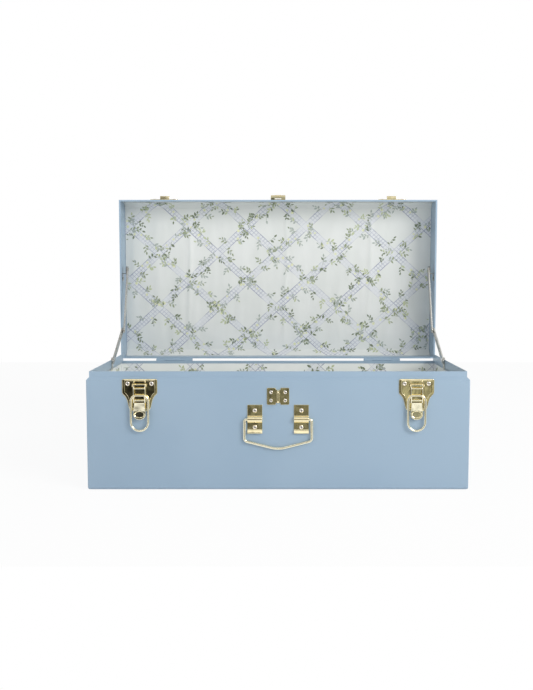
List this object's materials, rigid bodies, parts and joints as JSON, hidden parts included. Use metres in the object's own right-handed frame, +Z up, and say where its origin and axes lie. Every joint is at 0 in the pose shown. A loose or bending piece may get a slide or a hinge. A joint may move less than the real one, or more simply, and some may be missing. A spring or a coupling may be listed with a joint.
{
  "type": "tin trunk",
  "caption": "Small painted sheet-steel trunk, open, with a printed lining, draw latches, a hasp and staple, a wire carry handle and folding lid stays.",
  "frame": {"origin": "centre of the underside, on the surface that the trunk stands on", "axes": "+Z up, the front face with its latches towards -Y, +X towards the right end as seen from the front"},
  "size_m": [0.5, 0.3134, 0.4062],
  "materials": {
    "blue_paint": "satin grey-blue paint",
    "printed_lining": "matt off-white print with a lavender trellis",
    "brass": "bright brass plating",
    "nickel": "bright nickel plating"
  },
  "bodies": {
    "trunk": {"body_shell": "blue_paint", "body_bottom": "blue_paint", "neck_frame": "blue_paint", "body_lining": "printed_lining", "hinge_leaf_body_left": "blue_paint", "hinge_leaf_body_right": "blue_paint", "hinge_pin_left": "blue_paint", "hinge_pin_right": "blue_paint", "hinge_rivets_body": "blue_paint", "latch_base_left": "brass", "latch_base_right": "brass", "latch_pin_left": "brass", "latch_pin_right": "brass", "latch_rivets": "nickel", "hasp_staple": "brass", "staple_rivets": "nickel", "handle_bracket_left": "brass", "handle_bracket_right": "brass", "handle_rivets": "nickel", "stay_bracket_body_left": "nickel", "stay_bracket_body_right": "nickel", "stay_rivets_body": "nickel"},
    "lid": {"lid_shell": "blue_paint", "lid_end_left": "blue_paint", "lid_end_right": "blue_paint", "lid_lining": "printed_lining", "hinge_leaf_lid_left": "blue_paint", "hinge_leaf_lid_right": "blue_paint", "hinge_rivets_lid": "blue_paint", "strike_left": "brass", "strike_right": "brass", "strike_rivets": "nickel", "hasp_leaf": "brass", "hasp_rivets": "nickel", "hasp_pin": "brass", "stay_bracket_lid_left": "nickel", "stay_bracket_lid_right": "nickel", "stay_rivets_lid": "nickel"},
    "latch_lever_left": {"latch_lever_left": "brass"},
    "latch_loop_left": {"latch_loop_left": "brass"},
    "latch_lever_right": {"latch_lever_right": "brass"},
    "latch_loop_right": {"latch_loop_right": "brass"},
    "hasp_flap": {"hasp_flap": "brass"},
    "handle_bail": {"handle_bail": "brass"},
    "stay_lower_left": {"stay_lower_left": "nickel"},
    "stay_upper_left": {"stay_upper_left": "nickel"},
    "stay_lower_right": {"stay_lower_right": "nickel"},
    "stay_upper_right": {"stay_upper_right": "nickel"}
  },
  "joints": [
    {"name": "lid_hinge", "type": "hinge", "parent": "trunk", "child": "lid", "pos_m": [0, 0.127, 0.14642], "axis": [1, 0, 0], "range_deg": [0, 90]},
    {"name": "latch_lever_left", "type": "hinge", "parent": "trunk", "child": "latch_lever_left", "pos_m": [-0.18, -0.1292, 0.1385], "axis": [-1, 0, 0], "range_deg": [0, 90]},
    {"name": "latch_loop_left", "type": "hinge", "parent": "latch_lever_left", "child": "latch_loop_left", "pos_m": [-0.18, -0.1294, 0.1244], "axis": [1, 0, 0], "range_deg": [-180, 0]},
    {"name": "latch_lever_right", "type": "hinge", "parent": "trunk", "child": "latch_lever_right", "pos_m": [0.18, -0.1292, 0.1385], "axis": [-1, 0, 0], "range_deg": [0, 90]},
    {"name": "latch_loop_right", "type": "hinge", "parent": "latch_lever_right", "child": "latch_loop_right", "pos_m": [0.18, -0.1294, 0.1244], "axis": [1, 0, 0], "range_deg": [-180, 0]},
    {"name": "hasp_hinge", "type": "hinge", "parent": "lid", "child": "hasp_flap", "pos_m": [0, 0.13112, 0.40342], "axis": [1, 0, 0], "range_deg": [0, 180]},
    {"name": "handle_swing", "type": "hinge", "parent": "trunk", "child": "handle_bail", "pos_m": [0, -0.1277, 0.094], "axis": [-1, 0, 0], "range_deg": [0, 150]},
    {"name": "stay_lower_left", "type": "hinge", "parent": "trunk", "child": "stay_lower_left", "pos_m": [-0.2423, 0.0279, 0.1547], "axis": [1, 0, 0], "range_deg": [-21, 0]},
    {"name": "stay_upper_left", "type": "hinge", "parent": "lid", "child": "stay_upper_left", "pos_m": [-0.2423, 0.14482, 0.29002], "axis": [1, 0, 0], "range_deg": [0, 21]},
    {"name": "stay_lower_right", "type": "hinge", "parent": "trunk", "child": "stay_lower_right", "pos_m": [0.2423, 0.0279, 0.1547], "axis": [1, 0, 0], "range_deg": [-21, 0]},
    {"name": "stay_upper_right", "type": "hinge", "parent": "lid", "child": "stay_upper_right", "pos_m": [0.2423, 0.14482, 0.29002], "axis": [1, 0, 0], "range_deg": [0, 21]}
  ],
  "couplings": [
    {"joint": "stay_lower_left", "follows": "lid_hinge", "ratio": -0.231},
    {"joint": "stay_upper_left", "follows": "lid_hinge", "ratio": 0.2333},
    {"joint": "stay_lower_right", "follows": "lid_hinge", "ratio": -0.231},
    {"joint": "stay_upper_right", "follows": "lid_hinge", "ratio": 0.2333}
  ]
}
